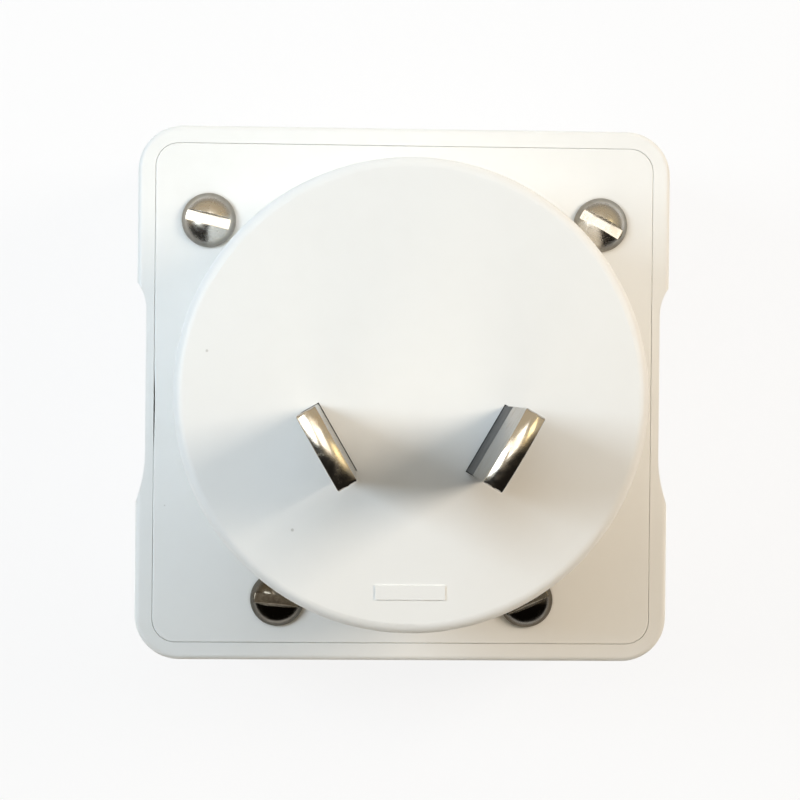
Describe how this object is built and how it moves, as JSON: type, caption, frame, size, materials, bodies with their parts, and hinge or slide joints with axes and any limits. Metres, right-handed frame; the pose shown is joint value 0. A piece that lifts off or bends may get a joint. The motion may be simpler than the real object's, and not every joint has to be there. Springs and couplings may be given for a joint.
{
  "type": "travel adapter",
  "caption": "Square white travel adapter: shuttered three-pin socket on one face, tall round boss with flat plug pins set in a V on the other, inset cover held by slotted screws.",
  "frame": {"origin": "centre of the socket face, on the plane that the adapter stands on", "axes": "+Z points along the flat pins, away from the socket face; +Y is the side of the earth aperture; +X is to the right when the flat pins are looked at with +Y up"},
  "size_m": [0.0504, 0.0504, 0.0591],
  "materials": {
    "white_plastic": "semi-gloss moulded",
    "shutter_plastic": "semi-gloss moulded",
    "carrier_plastic": "matt moulded",
    "pin_nickel": "bright nickel plate",
    "screw_nickel": "bright nickel plate",
    "contact_brass": "pressed strip",
    "spring_steel": "drawn wire and strip"
  },
  "bodies": {
    "adapter": {"socket_housing": "white_plastic", "plug_cover": "white_plastic", "cover_screw_1": "screw_nickel", "cover_screw_2": "screw_nickel", "cover_screw_3": "screw_nickel", "cover_screw_4": "screw_nickel", "live_pin": "pin_nickel", "neutral_pin": "pin_nickel", "shutter_spring": "spring_steel", "contact_carrier": "carrier_plastic", "live_contact": "contact_brass", "neutral_contact": "contact_brass", "live_grip_clip": "spring_steel", "neutral_grip_clip": "spring_steel", "live_link": "contact_brass", "neutral_link": "contact_brass", "live_rivet": "contact_brass", "neutral_rivet": "contact_brass", "pin_retainer": "carrier_plastic", "retainer_screw_1": "spring_steel", "retainer_screw_2": "spring_steel"},
    "shutter": {"shutter": "shutter_plastic"}
  },
  "joints": [
    {"name": "shutter_slide", "type": "slide", "parent": "adapter", "child": "shutter", "axis": [0, 1, 0], "range_m": [0, 0.00562], "stiffness_N_per_m": 120, "springref_m": -0.004, "deforming": ["shutter_spring"]}
  ]
}
